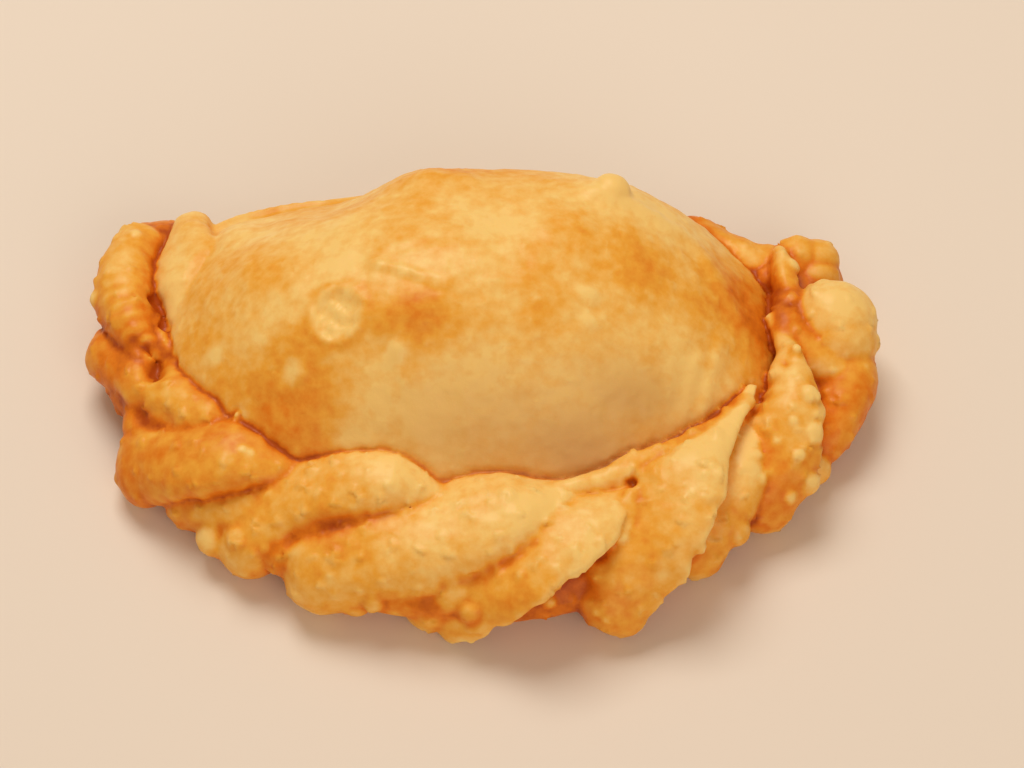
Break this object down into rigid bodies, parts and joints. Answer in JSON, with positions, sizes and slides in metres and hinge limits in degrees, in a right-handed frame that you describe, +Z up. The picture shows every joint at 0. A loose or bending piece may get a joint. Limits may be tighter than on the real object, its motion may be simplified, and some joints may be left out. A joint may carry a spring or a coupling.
{
  "type": "empanada",
  "caption": "Fried half-moon turnover: a domed, filled pouch with a flat underside, its curved seam rolled into a thick slanting rope of folds.",
  "frame": {"origin": "centre of the bounding box's bottom face, on the table under the pastry", "axes": "+X along the straight back fold, from the rolled tail to the knob; +Y from the rope towards the back fold; +Z up"},
  "size_m": [0.1258, 0.0806, 0.0341],
  "materials": {
    "crust": "golden fried wheat dough, satin with a thin film of oil, paler on the fold crowns and darker orange in the grooves"
  },
  "bodies": {
    "root": {"empanada": "crust"}
  },
  "joints": []
}
